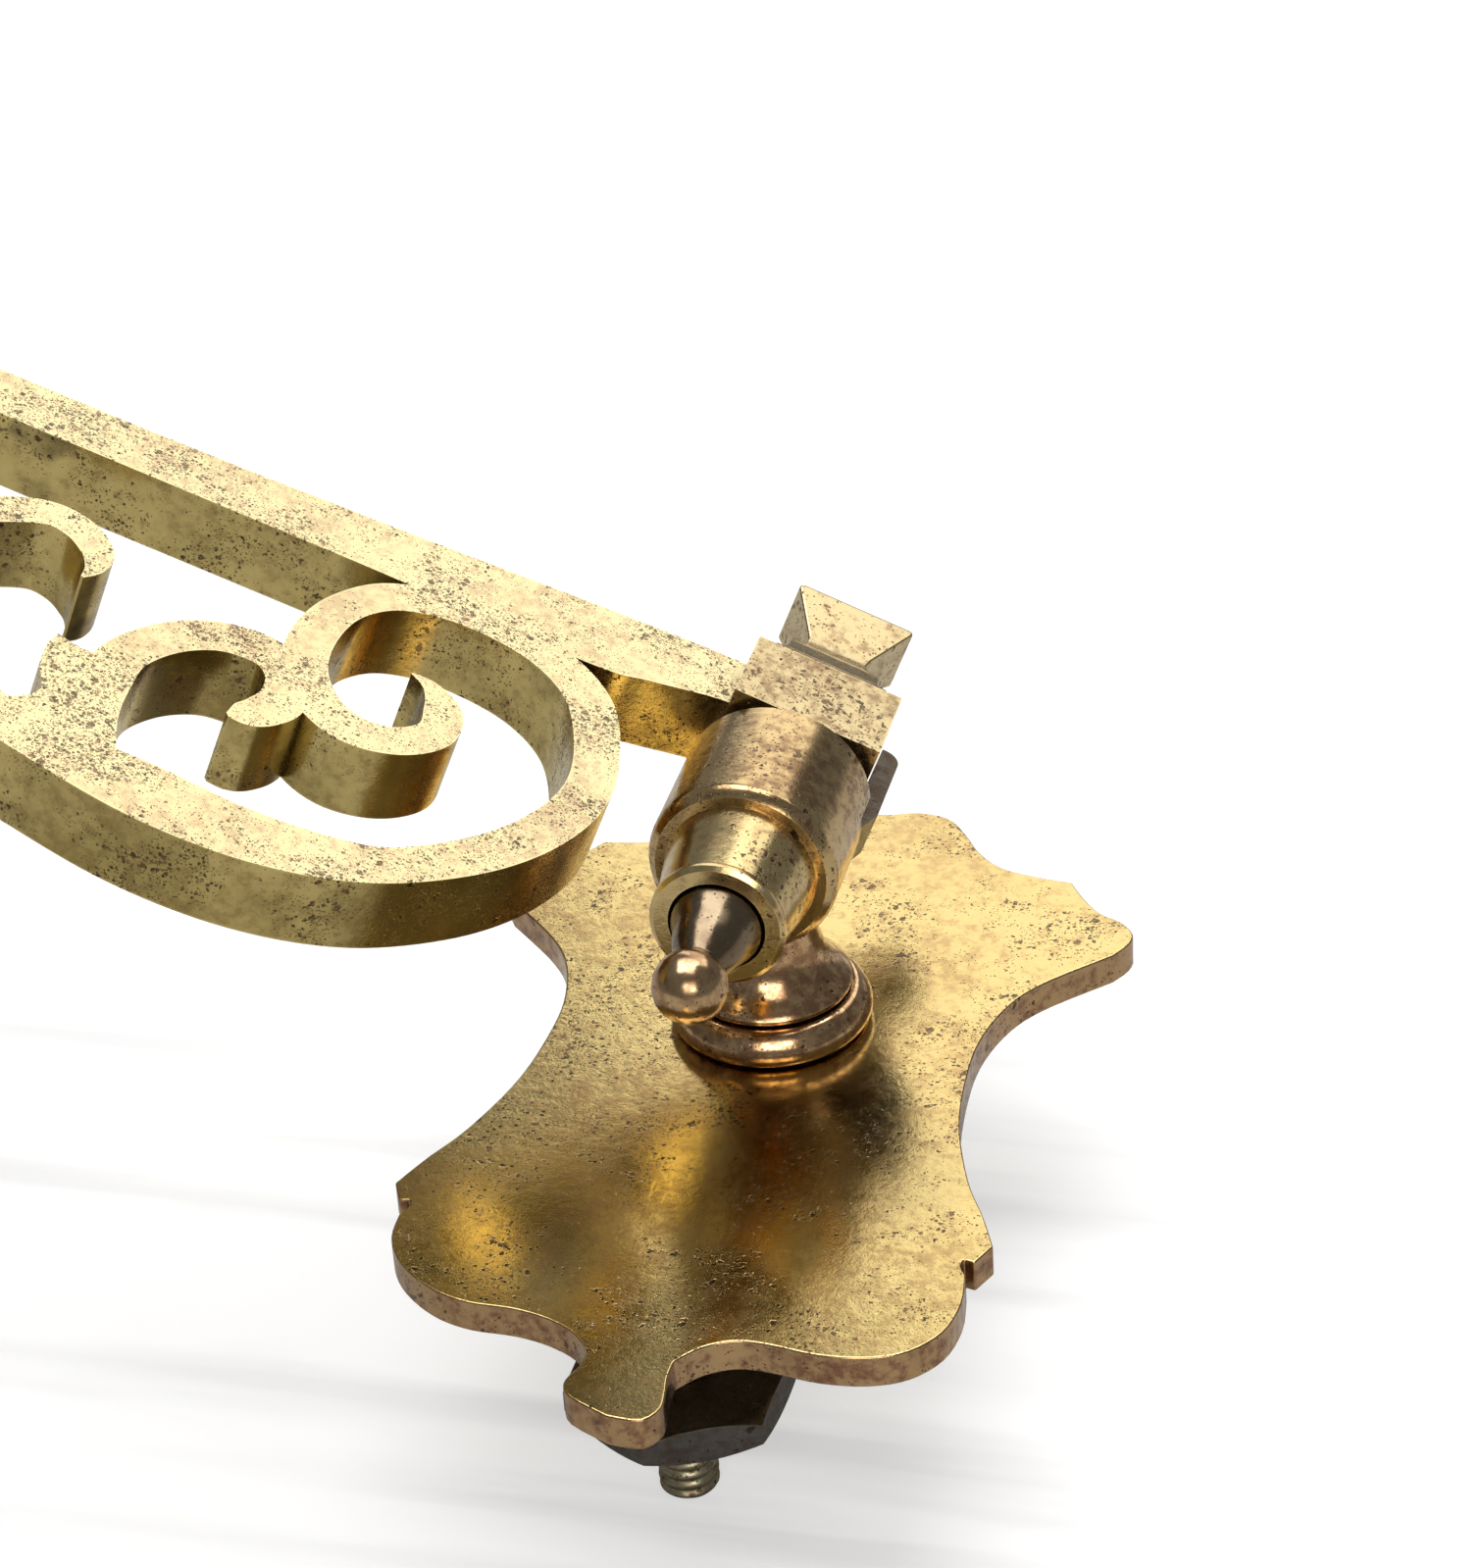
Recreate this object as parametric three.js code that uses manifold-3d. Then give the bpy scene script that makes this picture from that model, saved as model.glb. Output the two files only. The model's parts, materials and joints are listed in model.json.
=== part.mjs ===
// Swing arm wall sconce for a candle: a cast wall plate held by two studs, a turned neck that
// carries an upright barrel, and a pierced scroll arm that swings in the barrel on a lift-out plug.
// Units are millimetres. +Z is up, the wall is the plane Y = 0 and the arm stands out towards -Y.
// The origin is on the back of the plate, midway between the two studs.

import * as THREE from 'three';
import { mergeVertices } from 'three/addons/utils/BufferGeometryUtils.js';
import Module from 'manifold-3d';

const wasm = await Module();
wasm.setup();

// ---- Driving dimensions ----

const GAP = 0.3;                 // clearance between pieces that touch

// wall plate
const PLATE_THICK = 3.7;
const PLATE_WIDTH_SCALE = 1.0;   // stretches the outline sideways
const PLATE_HEIGHT_SCALE = 1.0;  // stretches the outline up and down

// studs and their nuts
const STUD_SPACING = 71.2;
const STUD_RADIUS = 3.17;
const STUD_LENGTH = 26.2;        // how far a stud stands out behind the plate
const STUD_SOCKET = 2.2;         // how deep it is screwed into the plate
const STUD_CHAMFER = 0.7;
const NUT_FLATS = 21.4;
const NUT_THICK = 4.2;
const NUT_CHAMFER = 1.4;
const NUT_STANDOFF = { upper: 9.1, lower: 10.3 };   // plate back to nut
const NUT_TURN = { upper: 18, lower: 4 };           // degrees

// neck between plate and barrel
const NECK_RISE = 7.4;           // neck axis above the stud centre
const NECK_RADIUS = 5.4;
const NECK_MOUTH_RADIUS = 9.0;
const FLANGE_RADIUS = 11.0;
const FLANGE_THICK = 4.0;
const SPIGOT_RADIUS = 4.2;       // goes through flange and plate, riveted over at the back
const RIVET_RADIUS = 5.6;
const RIVET_DEPTH = 1.4;

// barrel: heights are measured from the neck axis
const BARREL_REACH = 27.7;       // wall to hinge axis
const BARREL_RADIUS = 10.2;
const BARREL_TOP = 8.0;
const BARREL_STEP = -8.9;        // underside of the large cylinder
const BARREL_LOW_RADIUS = 8.1;   // lower cylinder at the step
const BARREL_MOUTH_RADIUS = 6.9; // lower cylinder at its mouth
const BARREL_BOTTOM = -19.1;
const BORE_TOP_RADIUS = 6.5;
const BORE_LOW_RADIUS = 5.15;
const NOTCH_DEPTH = 4.7;         // half-circle cut in the rim, where the stop travels
const NOTCH_HALF_ANGLE = 90;     // degrees each side of the wall side

// hinge block, plug and finial: heights from the neck axis
const BLOCK_HALF = 8.4;
const BLOCK_HEIGHT = 11.3;
const WASHER_THICK = 0.9;
const WASHER_RADIUS = 8.9;
const STOP_HALF_WIDTH = 2.7;
const STOP_THICK = 2.2;
const STOP_RISE = 9.2;           // how far the stop stands up behind the block
const TANG_HALF = 4.1;           // square tang of the plug, through washer and block
const SCREW_RADIUS = 2.6;        // threaded end of the plug, inside the finial
const SCREW_LENGTH = 9;
const BALL_RADIUS = 3.9;
const BALL_DROP = 10.9;          // barrel bottom to ball centre
const FINIAL_HEIGHT = 20.5;
const FINIAL_HALF_WIDTH = 6.9;
const FINIAL_HALF_DEPTH = 3.8;

// arm: a flat casting of one thickness
const ARM_THICK = 8.7;
const ARM_REACH = 143;           // hinge axis to candle axis
const BOSS_RADIUS = 8.2;
const BOSS_HEIGHT = 10.4;
const BOSS_TOP = 15.6;           // above the neck axis
const REST_SWING = 67.3;         // degrees from straight out, towards -X

// candle end
const STEM_RADIUS = 3.1;
const STEM_TAIL = 7;             // how far the stem reaches below the boss
const PAN_RADIUS = 35;
const PAN_THICK = 1.2;
const PAN_DEPTH = 7.2;
const CANDLE_RADIUS = 11.2;
const CANDLE_DEPTH = 22;
const CUP_WALL = 1.6;
const CUP_FOOT = 8.6;            // moulded foot under the candle
const PENDANT_RADIUS = 5.8;

// facets
const ROUND = 48;                // sides of the turned pieces
const FINE_ROUND = 64;           // sides of the drip pan

// ---- Materials ----

const brass = (name, color, roughness) =>
  new THREE.MeshStandardMaterial({ name, color, roughness, metalness: 1 });

const plateBrass = brass('plate_brass', 0xb08d4c, 0.42);
const armBrass = brass('arm_brass', 0xc9ab68, 0.38);
const turnedBrass = brass('turned_brass', 0xa8743a, 0.28);
const darkBronze = brass('dark_bronze', 0x6e5336, 0.35);
const studMetal = brass('stud_metal', 0x6a6450, 0.5);
const nutSteel = brass('nut_steel', 0x55514d, 0.45);

// ---- Solids ----

const { PI } = Math;
const rad = (degrees) => (degrees * PI) / 180;

/** A closed three.js geometry as a solid, with its faces turned outwards. */
function solid(geometry) {
  const bare = geometry.clone();
  bare.deleteAttribute('normal');
  bare.deleteAttribute('uv');
  const merged = mergeVertices(bare, 1e-4);
  const points = merged.attributes.position.array;
  const index = merged.index.array;
  const kept = [];
  let volume = 0;
  const corner = (i) => new THREE.Vector3().fromArray(points, i * 3);
  for (let i = 0; i < index.length; i += 3) {
    const [a, b, c] = index.slice(i, i + 3);
    if (a === b || b === c || c === a) continue;
    kept.push(a, b, c);
    volume += corner(a).dot(corner(b).cross(corner(c)));
  }
  if (volume < 0) kept.reverse();
  const mesh = new wasm.Mesh({
    numProp: 3,
    vertProperties: new Float32Array(points),
    triVerts: new Uint32Array(kept),
  });
  return new wasm.Manifold(mesh);
}

/** A solid as a named mesh. */
function piece(name, body, material) {
  const { vertProperties, triVerts } = body.getMesh();
  const geometry = new THREE.BufferGeometry();
  geometry.setAttribute('position', new THREE.BufferAttribute(new Float32Array(vertProperties), 3));
  geometry.setIndex(new THREE.BufferAttribute(new Uint32Array(triVerts), 1));
  geometry.computeVertexNormals();
  const mesh = new THREE.Mesh(geometry, material);
  mesh.name = name;
  return mesh;
}

/** A turned solid about Z from [radius, height] points that close on the axis or on themselves. */
function turned(profile, sides = ROUND) {
  const points = profile.map(([r, z]) => new THREE.Vector2(r, z));
  return solid(new THREE.LatheGeometry(points, sides).rotateX(PI / 2));
}

/** The same about Y: [radius, distance out from the wall]. */
function turnedOut(profile, sides = ROUND) {
  const points = profile.map(([r, out]) => new THREE.Vector2(r, -out));
  return solid(new THREE.LatheGeometry(points, sides));
}

function box(halfX, halfY, low, high, x = 0, y = 0) {
  const geometry = new THREE.BoxGeometry(2 * halfX, 2 * halfY, high - low);
  return solid(geometry.translate(x, y, (low + high) / 2));
}

/** An upright slab from an outline in X and Z, centred on Y = middle. */
function slab(shape, thickness, middle = 0) {
  const geometry = new THREE.ExtrudeGeometry(shape, { depth: thickness, bevelEnabled: false });
  return solid(geometry.rotateX(PI / 2).translate(0, middle + thickness / 2, 0));
}

/** A smooth run through [x, z] points. */
function smooth(points, steps) {
  const curve = new THREE.SplineCurve(points.map(([x, z]) => new THREE.Vector2(x, z)));
  return curve.getPoints(steps);
}

/** A scroll band: a smooth centre line of [x, z, width] stations, widened by each width. */
function band(stations, stepsPerStation = 7) {
  const steps = (stations.length - 1) * stepsPerStation;
  const line = smooth(stations, steps);
  const widths = smooth(stations.map(([, , width], i) => [i, width]), steps).map((p) => p.y);
  const left = [];
  const right = [];
  line.forEach((point, i) => {
    const ahead = line[Math.min(i + 1, steps)].clone().sub(line[Math.max(i - 1, 0)]).normalize();
    const across = new THREE.Vector2(-ahead.y, ahead.x).multiplyScalar(Math.max(widths[i], 0.2) / 2);
    left.push(point.clone().add(across));
    right.push(point.clone().sub(across));
  });
  return new THREE.Shape([...left, ...right.reverse()]);
}

/** A lofted solid of square-cornered sections, each [half width, half depth, height]. */
function loft(sections) {
  const positions = [];
  for (const [halfX, halfY, z] of sections) {
    positions.push(halfX, halfY, z, -halfX, halfY, z, -halfX, -halfY, z, halfX, -halfY, z);
  }
  const index = [0, 2, 1, 0, 3, 2];
  for (let low = 0; low < (sections.length - 1) * 4; low += 4) {
    for (let i = 0; i < 4; i++) {
      const next = (i + 1) % 4;
      index.push(low + i, low + next, low + 4 + next, low + i, low + 4 + next, low + 4 + i);
    }
  }
  const top = (sections.length - 1) * 4;
  index.push(top, top + 1, top + 2, top, top + 2, top + 3);
  const geometry = new THREE.BufferGeometry();
  geometry.setAttribute('position', new THREE.Float32BufferAttribute(positions, 3));
  geometry.setIndex(index);
  return solid(geometry);
}

// ---- Wall plate ----

// The plate is finished by hand, and its two lower halves differ a little.
const RIGHT_LOBE = [[29.7, -41.0], [30.2, -45.5], [29.3, -50.2], [26.6, -53.7], [22.8, -55.4],
  [18.0, -55.8], [13.0, -55.1], [9.6, -55.1], [6.6, -56.6], [4.4, -59.2]];
const LEFT_LOBE = [[29.5, -41.2], [29.2, -44.6], [27.7, -47.8], [25.2, -50.5], [21.9, -52.7],
  [18.2, -53.8], [13.6, -54.0], [9.8, -54.9], [6.6, -56.6], [4.4, -59.2]];

const RIGHT_TAIL = [[4.4, -59.2], [4.4, -61.6], [4.8, -64.0], [4.9, -66.4], [3.4, -68.4], [0, -68.3]];
const LEFT_TAIL = [[4.4, -59.2], [4.6, -61.2], [5.2, -62.8], [5.4, -64.4], [4.2, -66.2], [0, -68.3]];

/** Half of the plate's outline, from the crest down to the tail, about the neck axis. */
function plateHalf(lobePoints, tailPoints) {
  const crest = smooth([[0, 41.2], [4, 41.5], [7.4, 42.4], [11, 41.6], [13.6, 38.6], [15.8, 35.2],
    [19, 32.4], [23.4, 31.2], [27.3, 30.7]], 30);
  const wing = smooth([[27.3, 30.7], [29.3, 27.6], [31.5, 25.1], [34.1, 23.7], [35.8, 21.6],
    [35.7, 19.4], [34.4, 17.0]], 18);
  const waist = smooth([[34.4, 17.0], [28.2, 10.8], [25.1, 6.0], [23.3, -0.5], [23.1, -7.5],
    [24.1, -16.5], [26.8, -25.5], [29.6, -31.4], [31.5, -36.0]], 36);
  const notch = [[31.2, -38.2], [30.2, -38.9], [29.0, -38.6], [28.9, -39.6], lobePoints[0]]
    .map(([x, z]) => new THREE.Vector2(x, z));
  const lobe = smooth(lobePoints, 36);
  const tail = smooth(tailPoints, 14);
  return [crest, wing, waist, notch, lobe, tail].flatMap((run, i) => (i ? run.slice(1) : run));
}

function wallPlate() {
  const sized = (half, side) => half.map(({ x, y }) =>
    new THREE.Vector2(side * x * PLATE_WIDTH_SCALE, y * PLATE_HEIGHT_SCALE + NECK_RISE));
  const right = sized(plateHalf(RIGHT_LOBE, RIGHT_TAIL), 1);
  const left = sized(plateHalf(LEFT_LOBE, LEFT_TAIL), -1).slice(1, -1).reverse();
  let body = slab(new THREE.Shape([...right, ...left]), PLATE_THICK, -PLATE_THICK / 2);
  const rivetHole = turnedOut([
    [0, PLATE_THICK + 1],
    [SPIGOT_RADIUS + GAP, PLATE_THICK + 1],
    [SPIGOT_RADIUS + GAP, RIVET_DEPTH],
    [RIVET_RADIUS + GAP, 0],
    [RIVET_RADIUS + GAP, -1],
    [0, -1],
  ]);
  body = body.subtract(rivetHole.translate([0, 0, NECK_RISE]));
  for (const side of [1, -1]) {
    const socket = turnedOut([
      [0, STUD_SOCKET + GAP],
      [STUD_RADIUS + GAP, STUD_SOCKET + GAP],
      [STUD_RADIUS + GAP, -1],
      [0, -1],
    ], 24);
    body = body.subtract(socket.translate([0, 0, (side * STUD_SPACING) / 2]));
  }
  return piece('wall_plate', body, plateBrass);
}

// ---- Studs and nuts ----

function stud(name, side) {
  const body = turnedOut([
    [0, STUD_SOCKET],
    [STUD_RADIUS, STUD_SOCKET],
    [STUD_RADIUS, -STUD_LENGTH + STUD_CHAMFER],
    [STUD_RADIUS - STUD_CHAMFER, -STUD_LENGTH],
    [0, -STUD_LENGTH],
  ], 24);
  return piece(name, body.translate([0, 0, (side * STUD_SPACING) / 2]), studMetal);
}

function nut(name, side, standoff, turn) {
  const corner = NUT_FLATS / Math.sqrt(3);
  const hex = solid(new THREE.CylinderGeometry(corner, corner, NUT_THICK, 6).rotateY(rad(turn)));
  const chamfered = turnedOut([
    [0, NUT_THICK / 2],
    [NUT_FLATS / 2, NUT_THICK / 2],
    [corner + 1, NUT_THICK / 2 - NUT_CHAMFER],
    [corner + 1, -NUT_THICK / 2 + NUT_CHAMFER],
    [NUT_FLATS / 2, -NUT_THICK / 2],
    [0, -NUT_THICK / 2],
  ]);
  const hole = turnedOut([
    [0, NUT_THICK],
    [STUD_RADIUS + GAP, NUT_THICK],
    [STUD_RADIUS + GAP, -NUT_THICK],
    [0, -NUT_THICK],
  ], 24);
  const body = hex.intersect(chamfered).subtract(hole);
  const place = [0, standoff + NUT_THICK / 2, (side * STUD_SPACING) / 2];
  return piece(name, body.translate(place), nutSteel);
}

// ---- Neck flange, neck and barrel ----

const flangeBack = PLATE_THICK + GAP;
const flangeFront = flangeBack + FLANGE_THICK;
const neckBack = flangeFront + GAP;

function neckFlange() {
  const body = turnedOut([
    [SPIGOT_RADIUS + GAP, flangeBack],
    [FLANGE_RADIUS - 0.4, flangeBack],
    [FLANGE_RADIUS, flangeBack + 0.8],
    [FLANGE_RADIUS, flangeBack + 1.6],
    [FLANGE_RADIUS - 0.4, flangeBack + 2.6],
    [FLANGE_RADIUS - 1.1, flangeBack + 3.5],
    [FLANGE_RADIUS - 1.9, flangeFront],
    [SPIGOT_RADIUS + GAP, flangeFront],
    [SPIGOT_RADIUS + GAP, flangeBack],
  ]);
  return piece('neck_flange', body.translate([0, 0, NECK_RISE]), turnedBrass);
}

/** Sector of a ring about Z, as a cutter: angles in degrees from +X. */
function sector(radius, from, to, low, high) {
  const shape = new THREE.Shape();
  shape.moveTo(0, 0);
  shape.absarc(0, 0, radius, rad(from), rad(to), false);
  shape.closePath();
  const geometry = new THREE.ExtrudeGeometry(shape, {
    depth: high - low,
    bevelEnabled: false,
    curveSegments: 24,
  });
  return solid(geometry.translate(0, 0, low));
}

function barrelAndNeck() {
  const barrel = turned([
    [0, BARREL_TOP],
    [BARREL_RADIUS - 0.4, BARREL_TOP],
    [BARREL_RADIUS, BARREL_TOP - 0.4],
    [BARREL_RADIUS, BARREL_STEP + 1.3],
    [BARREL_RADIUS - 0.3, BARREL_STEP + 0.6],
    [BARREL_RADIUS - 1.0, BARREL_STEP],
    [BARREL_LOW_RADIUS, BARREL_STEP],
    [BARREL_MOUTH_RADIUS, BARREL_BOTTOM + 1.5],
    [BARREL_MOUTH_RADIUS + 0.3, BARREL_BOTTOM + 1.0],
    [BARREL_MOUTH_RADIUS + 0.3, BARREL_BOTTOM + 0.4],
    [BARREL_MOUTH_RADIUS - 0.2, BARREL_BOTTOM],
    [0, BARREL_BOTTOM],
  ]);
  const neck = turnedOut([
    [0, 0],
    [RIVET_RADIUS, 0],
    [SPIGOT_RADIUS, RIVET_DEPTH],
    [SPIGOT_RADIUS, neckBack],
    [NECK_MOUTH_RADIUS - 0.1, neckBack],
    [NECK_MOUTH_RADIUS, neckBack + 0.5],
    [NECK_MOUTH_RADIUS - 0.3, neckBack + 1.0],
    [NECK_MOUTH_RADIUS - 1.2, neckBack + 1.8],
    [(NECK_RADIUS + NECK_MOUTH_RADIUS) / 2 - 0.3, neckBack + 2.8],
    [NECK_RADIUS + 0.8, neckBack + 4.2],
    [NECK_RADIUS + 0.3, neckBack + 5.8],
    [NECK_RADIUS, neckBack + 8],
    [NECK_RADIUS, BARREL_REACH - BORE_TOP_RADIUS - 1],
    [0, BARREL_REACH - BORE_TOP_RADIUS - 1],
  ]);
  const bore = turned([
    [0, BARREL_TOP + 1],
    [BORE_TOP_RADIUS, BARREL_TOP + 1],
    [BORE_TOP_RADIUS, BARREL_TOP],
    [BORE_LOW_RADIUS, BARREL_BOTTOM],
    [BORE_LOW_RADIUS, BARREL_BOTTOM - 1],
    [0, BARREL_BOTTOM - 1],
  ]);
  const notch = sector(BARREL_RADIUS + 2, 90 - NOTCH_HALF_ANGLE, 90 + NOTCH_HALF_ANGLE,
    BARREL_TOP - NOTCH_DEPTH, BARREL_TOP + 1);
  const body = barrel
    .add(neck.translate([0, BARREL_REACH, 0]))
    .subtract(bore)
    .subtract(notch);
  return piece('barrel_and_neck', body.translate([0, -BARREL_REACH, NECK_RISE]), turnedBrass);
}

// ---- Hinge block, plug, stop washer and finial (in the arm's own frame) ----

const washerLow = BARREL_TOP + GAP;
const blockLow = washerLow + WASHER_THICK + GAP;
const blockTop = blockLow + BLOCK_HEIGHT;
const finialLow = blockTop + GAP;

/** Square hole that the plug's tang passes through. */
const tangHole = () => box(TANG_HALF + GAP, TANG_HALF + GAP, BARREL_TOP, blockTop + 1);

function stopWasher() {
  const ring = turned([
    [0, washerLow],
    [WASHER_RADIUS, washerLow],
    [WASHER_RADIUS, washerLow + WASHER_THICK],
    [0, washerLow + WASHER_THICK],
  ]);
  const inner = BLOCK_HALF + GAP;
  const low = BARREL_TOP - NOTCH_DEPTH + GAP;
  const high = blockLow + STOP_RISE;
  const round = STOP_THICK - 0.4;
  const outline = new THREE.Shape();
  outline.moveTo(-inner, low);
  outline.lineTo(-inner, high);
  outline.absarc(-inner - STOP_THICK + round, high - round, round, PI / 2, PI, false);
  outline.lineTo(-inner - STOP_THICK, BARREL_TOP - NOTCH_DEPTH / 4);
  outline.lineTo(-inner - STOP_THICK / 2, low);
  const tab = slab(outline, 2 * STOP_HALF_WIDTH);
  const bridge = box(1.5, STOP_HALF_WIDTH, washerLow, washerLow + WASHER_THICK, -inner + 0.5);
  return piece('stop_washer', ring.add(bridge).add(tab).subtract(tangHole()), nutSteel);
}

function pivotPlug() {
  const ball = BARREL_BOTTOM - BALL_DROP;
  const ballArc = [];
  for (let degrees = 52; degrees >= -75; degrees -= 14) {
    ballArc.push([BALL_RADIUS * Math.cos(rad(degrees)), ball + BALL_RADIUS * Math.sin(rad(degrees))]);
  }
  const shoulder = BORE_LOW_RADIUS - GAP;
  const body = turned([
    [0, BARREL_TOP],
    [BORE_TOP_RADIUS - GAP, BARREL_TOP],
    [shoulder, BARREL_BOTTOM],
    [shoulder - 0.1, BARREL_BOTTOM - 0.5],
    [shoulder - 0.5, BARREL_BOTTOM - 1.4],
    [shoulder - 0.9, BARREL_BOTTOM - 2.7],
    [shoulder - 1.1, BARREL_BOTTOM - 4.0],
    [shoulder - 1.6, BARREL_BOTTOM - 5.4],
    [shoulder - 2.3, BARREL_BOTTOM - 6.6],
    [shoulder - 2.6, BARREL_BOTTOM - 7.2],
    ...ballArc,
    [0, ball - BALL_RADIUS],
  ]);
  const tang = box(TANG_HALF, TANG_HALF, BARREL_TOP - 1, blockTop - 1);
  const screw = turned([
    [0, blockTop - 2],
    [SCREW_RADIUS, blockTop - 2],
    [SCREW_RADIUS, blockTop + SCREW_LENGTH],
    [0, blockTop + SCREW_LENGTH],
  ], 20);
  return piece('pivot_plug', body.add(tang).add(screw), darkBronze);
}

function topFinial() {
  const w = FINIAL_HALF_WIDTH;
  const d = FINIAL_HALF_DEPTH;
  const at = (share) => finialLow + share * FINIAL_HEIGHT;
  const body = loft([
    [w - 0.1, d + 2.4, at(0)],
    [w - 0.1, d + 2.4, at(0.16)],
    [w - 0.7, d + 1.8, at(0.2)],
    [w - 1.3, d + 1.2, at(0.26)],
    [w - 1.4, d + 1.0, at(0.34)],
    [w - 2.2, d + 0.2, at(0.42)],
    [w - 3.0, d - 0.7, at(0.49)],
    [w - 3.3, d - 1.1, at(0.55)],
    [w - 3.1, d - 1.1, at(0.62)],
    [w, d, at(0.94)],
    [w, d, at(0.975)],
    [w - 0.6, d - 0.6, at(1)],
  ]);
  const hole = turned([
    [0, finialLow - 1],
    [SCREW_RADIUS + GAP, finialLow - 1],
    [SCREW_RADIUS + GAP, blockTop + SCREW_LENGTH + GAP],
    [0, blockTop + SCREW_LENGTH + GAP],
  ], 20);
  return piece('top_finial', body.subtract(hole), armBrass);
}

// ---- Arm casting (in the arm's own frame: X out along the arm, Z up from the neck axis) ----

/** The straight bar: highest at the block, waisted beside it, and tapering outwards. */
function bar() {
  const top = smooth([[0, blockTop - 0.1], [11, blockTop - 0.1], [27, 19.6], [47, 17.8], [72, 16.0],
    [96, 14.9], [120, 14.3], [ARM_REACH, 14.0]], 40);
  const under = smooth([[ARM_REACH, 6.6], [120, 6.8], [92, 7.3], [70, 8.0], [48, 8.7],
    [24, 8.8], [17, 10.4], [9, 12.6], [0, 12.8]], 40);
  return new THREE.Shape([...top, ...under]);
}

/** The great scroll: from the tip of its inner hook, round the ring, and out under the arm. */
function greatScroll() {
  return band([[39.6, -5.9, 0.3], [37, -6.9, 2.2], [34.8, -9.8, 4.2], [34.4, -14.2, 4.1],
    [37.6, -18, 4.4], [42.4, -19.1, 5.1], [46.8, -16.8, 5.2], [49.8, -11.8, 5], [50.4, -5.2, 4.7],
    [48.9, 0.9, 4.3], [45, 5.8, 4.6], [38, 8.2, 4.8], [29, 7.4, 5.2], [22.2, 2.8, 5.5],
    [18.7, -5.6, 5], [17.8, -13.6, 4.9], [20, -22, 5], [24.6, -29.9, 5.1], [31.6, -37, 5.3],
    [38.8, -40.4, 6.9], [47.2, -42.1, 8.2], [56.4, -42.1, 8.9], [65.4, -41.4, 7.4],
    [73.6, -39.9, 5.9], [82, -35.2, 5.5], [90.6, -28.4, 5.3], [98.4, -19.8, 5], [104.6, -11.6, 4.9],
    [110, -4.8, 4.8], [116, 1.6, 4.9], [123.4, 7, 5], [131, 9.6, 4.4]]);
}

/** The lesser scroll: springs from the great one, curls inside it and ends in a rounded bulb. */
function lesserScroll() {
  return band([[63.4, -40, 6], [65.6, -34, 6.2], [66, -28, 5.4], [65.6, -22.6, 4.8],
    [62.8, -17.2, 4.7], [58.6, -13.6, 4.9], [53.6, -12.8, 5.2], [50.6, -15.4, 4.6],
    [49.6, -19.4, 4.9], [50.8, -22.6, 4.5], [52.4, -24.3, 3.4], [53.6, -25.3, 0.6]]);
}

/** The leaf tip that sheathes the root of the lesser scroll. */
function leafTip() {
  const back = smooth([[67.4, -24.4], [69.6, -25], [72.6, -24.3]], 6);
  const front = smooth([[72.9, -26.2], [72.4, -30], [70.7, -34.2], [73.6, -37.6]], 8);
  const root = [[72, -40], [65, -40], [64, -30]].map(([x, z]) => new THREE.Vector2(x, z));
  return new THREE.Shape([...back, ...front, ...root]);
}

/** The outer hook: springs back from the rising rail and curls over towards the ring. */
function outerHook() {
  return band([[96, -24, 4.6], [93.2, -17.6, 5], [89.4, -12.4, 4.8], [85.4, -8.6, 4.4],
    [81, -5.8, 4.2], [77.2, -6.2, 4.2], [74.4, -8.6, 3.7], [73.6, -11.4, 2.2], [74.1, -13.8, 0.3]]);
}

const bossLow = BOSS_TOP - BOSS_HEIGHT;
const stemEnd = bossLow - STEM_TAIL;

function armCasting() {
  const parts = [bar(), greatScroll(), lesserScroll(), leafTip(), outerHook()];
  const flat = parts.map((shape) => slab(shape, ARM_THICK)).reduce((a, b) => a.add(b));
  const block = box(BLOCK_HALF, BLOCK_HALF, blockLow, blockTop);
  const boss = turned([
    [0, BOSS_TOP],
    [BOSS_RADIUS - 0.5, BOSS_TOP],
    [BOSS_RADIUS, BOSS_TOP - 0.5],
    [BOSS_RADIUS, bossLow + 0.5],
    [BOSS_RADIUS - 0.5, bossLow],
    [0, bossLow],
  ]);
  const stemHole = turned([
    [0, BOSS_TOP + 1],
    [STEM_RADIUS + GAP, BOSS_TOP + 1],
    [STEM_RADIUS + GAP, bossLow - 1],
    [0, bossLow - 1],
  ], 24);
  const tip = box(BOSS_RADIUS, ARM_THICK, bossLow - 1, BOSS_TOP + 1, ARM_REACH + BOSS_RADIUS);
  const body = flat
    .subtract(tip)
    .add(block)
    .add(boss.translate([ARM_REACH, 0, 0]))
    .subtract(stemHole.translate([ARM_REACH, 0, 0]))
    .subtract(tangHole());
  return piece('arm_casting', body, armBrass);
}

// ---- Candle end (about its own axis) ----

const panLow = BOSS_TOP + GAP;
const panFloor = panLow + PAN_THICK;
const cupLow = panFloor + GAP;
const seat = cupLow + CUP_FOOT;
const cupTop = seat + CANDLE_DEPTH;

function dripPan() {
  const t = PAN_THICK;
  const upper = [[16, 0], [22, 0.5], [28, 2.0], [32, 4.2], [PAN_RADIUS - 1.2, PAN_DEPTH - t]];
  const low = upper.map(([r, z]) => [r, panLow + z]);
  const high = upper.map(([r, z]) => [r - 0.25, panFloor + z]).reverse();
  const body = turned([
    [STEM_RADIUS + GAP, panLow],
    ...low,
    [PAN_RADIUS - 0.2, panLow + PAN_DEPTH - t],
    [PAN_RADIUS, panLow + PAN_DEPTH - t + 0.7],
    [PAN_RADIUS - 0.4, panLow + PAN_DEPTH],
    ...high.slice(0, -1),
    [STEM_RADIUS + GAP, panFloor],
    [STEM_RADIUS + GAP, panLow],
  ], FINE_ROUND);
  return piece('drip_pan', body, turnedBrass);
}

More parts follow.
